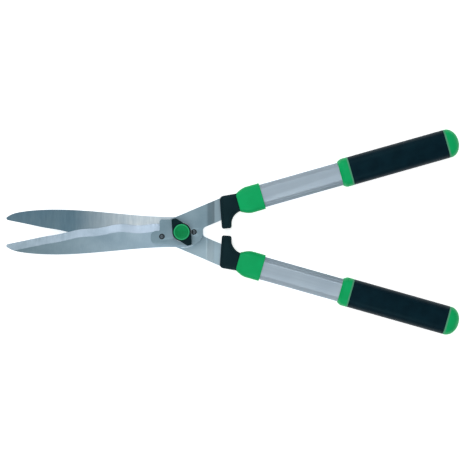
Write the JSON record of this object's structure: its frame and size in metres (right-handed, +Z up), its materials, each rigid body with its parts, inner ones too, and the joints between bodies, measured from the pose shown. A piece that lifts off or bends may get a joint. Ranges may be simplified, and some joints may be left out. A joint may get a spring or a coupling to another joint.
{
  "type": "hedge shears",
  "caption": "Long-bladed hand shears: wave-ground blades crossed on a wing-nut pivot, flat metal tube handles with stop bumpers, collars and soft grips.",
  "frame": {"origin": "on the pivot axis, at the level of the surface the shears lie on (the flat underside of the pivot bolt's head)", "axes": "+X from the pivot towards the handles, along the middle line between the halves; +Y towards the front half's handle; +Z up along the pivot axis, towards the wing nut"},
  "size_m": [0.5665, 0.256, 0.0323],
  "materials": {
    "blade_steel": "ground tool steel, bright bevel and hollow-ground inner face",
    "arm_steel": "pressed steel plate, satin",
    "fastener_steel": "zinc plated",
    "tube_aluminium": "extruded, satin anodised",
    "green_plastic": "moulded, semi-gloss green",
    "black_plastic": "moulded, fine texture",
    "black_rubber": "moulded bumper, smooth",
    "grip_rubber": "soft moulded grip, satin"
  },
  "bodies": {
    "back_half": {"back_blade": "blade_steel", "back_arm": "arm_steel", "back_arm_rivets": "fastener_steel", "back_bumper": "black_rubber", "back_collar": "green_plastic", "back_tube": "tube_aluminium", "back_tang_plug": "black_plastic", "back_tang_pin": "fastener_steel", "back_grip_core": "green_plastic", "back_grip_cover": "grip_rubber", "pivot_bolt": "fastener_steel", "front_washer": "fastener_steel", "spring_washer": "fastener_steel"},
    "front_half": {"front_blade": "blade_steel", "front_arm": "arm_steel", "front_arm_rivets": "fastener_steel", "front_bumper": "black_rubber", "front_collar": "green_plastic", "front_tube": "tube_aluminium", "front_tang_plug": "black_plastic", "front_tang_pin": "fastener_steel", "front_grip_core": "green_plastic", "front_grip_cover": "grip_rubber"},
    "wing_nut": {"knob_body": "black_plastic", "nut_insert": "fastener_steel", "knob_cap": "green_plastic"}
  },
  "joints": [
    {"name": "blade_pivot", "type": "hinge", "parent": "back_half", "child": "front_half", "pos_m": [0, 0, 0.01295], "axis": [0, 0, 1], "range_deg": [-8.9, 80]},
    {"name": "wing_nut_turn", "type": "hinge", "parent": "back_half", "child": "wing_nut", "pos_m": [0, 0, 0.0256], "axis": [0, 0, 1], "range_deg": [-90, 90]}
  ]
}
